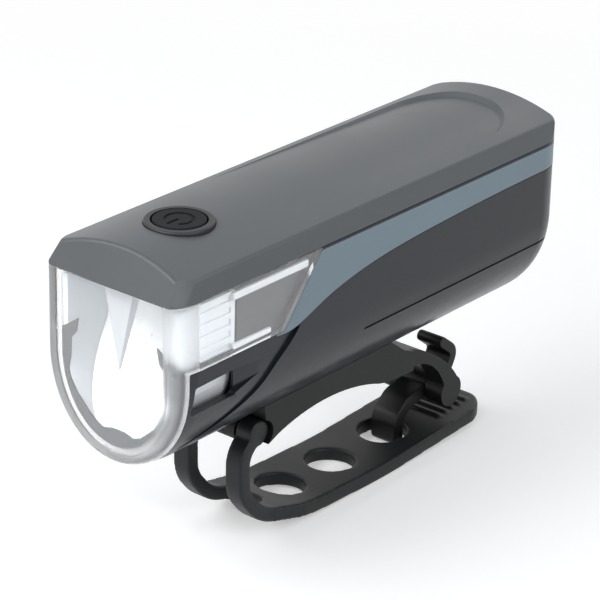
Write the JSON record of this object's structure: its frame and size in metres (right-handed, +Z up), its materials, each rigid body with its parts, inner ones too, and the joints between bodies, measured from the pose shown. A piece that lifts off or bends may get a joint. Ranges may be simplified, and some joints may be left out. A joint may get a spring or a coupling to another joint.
{
  "type": "bike headlight",
  "caption": "Slim bicycle headlight with a wrap-round clear lens, a top power button and a rubber bar strap held by a release lever.",
  "frame": {"origin": "highest point of the curved bar seat under the case, on the middle plane", "axes": "+Z up from the handlebar into the light, -Y the way the lens faces, +X to the side seen in the picture"},
  "size_m": [0.034, 0.1198, 0.0711],
  "materials": {
    "clear_lens": "clear moulded polycarbonate, gloss",
    "cover_grey": "satin with fine grain",
    "case_grey": "satin, slightly glossier than the cover",
    "trim_grey": "satin blue-grey",
    "black_rubber": "matt",
    "button_rubber": "matt with an engraved power symbol",
    "pale_plastic": "pale gloss",
    "bright_metal": "vacuum-metallised plastic",
    "frame_grey": "satin grey",
    "board_green": "solder mask",
    "led_yellow": "phosphor under a clear dome",
    "bare_aluminium": "die-cast, bead blasted",
    "screw_steel": "plain steel",
    "black_plastic": "matt black",
    "cell_wrap": "plain shrink wrap",
    "mount_black": "matt black glass-filled nylon",
    "strap_rubber": "matt silicone rubber"
  },
  "bodies": {
    "light": {"lens": "clear_lens", "top_cover": "cover_grey", "lower_case": "case_grey", "side_trim_right": "trim_grey", "side_trim_left": "trim_grey", "lens_gasket": "black_rubber", "cover_seal": "black_rubber", "light_chamber": "pale_plastic", "reflector": "bright_metal", "led_carrier": "frame_grey", "led_board": "board_green", "led_emitter": "led_yellow", "heat_sink": "bare_aluminium", "inner_frame": "frame_grey", "circuit_board": "board_green", "board_screws": "screw_steel", "tactile_switch": "black_plastic", "usb_socket": "screw_steel", "button_ring": "black_rubber", "battery_cell": "cell_wrap", "battery_tray": "black_plastic", "battery_tabs": "screw_steel", "case_screws": "screw_steel", "saddle": "mount_black", "mount_screws": "screw_steel", "strap_pin": "screw_steel", "lever_pin": "screw_steel"},
    "button": {"power_button": "button_rubber"},
    "strap": {"strap": "strap_rubber"},
    "lever": {"release_lever": "mount_black"},
    "flap": {"usb_flap": "black_rubber"}
  },
  "joints": [
    {"name": "button_press", "type": "slide", "parent": "light", "child": "button", "axis": [0, 0, -1], "range_m": [0, 0.0006], "stiffness_N_per_m": 3000},
    {"name": "strap_swing", "type": "hinge", "parent": "light", "child": "strap", "pos_m": [0, -0.0195, -0.0009], "axis": [1, 0, 0], "range_deg": [-50, 0]},
    {"name": "lever_release", "type": "hinge", "parent": "light", "child": "lever", "pos_m": [0, 0.0438, -0.0148], "axis": [1, 0, 0], "range_deg": [-25, 0], "stiffness_Nm_per_rad": 0.3, "springref_deg": 5.73},
    {"name": "flap_open", "type": "hinge", "parent": "light", "child": "flap", "pos_m": [0, 0.0659, 0.0281], "axis": [-1, 0, 0], "range_deg": [0, 100]}
  ]
}
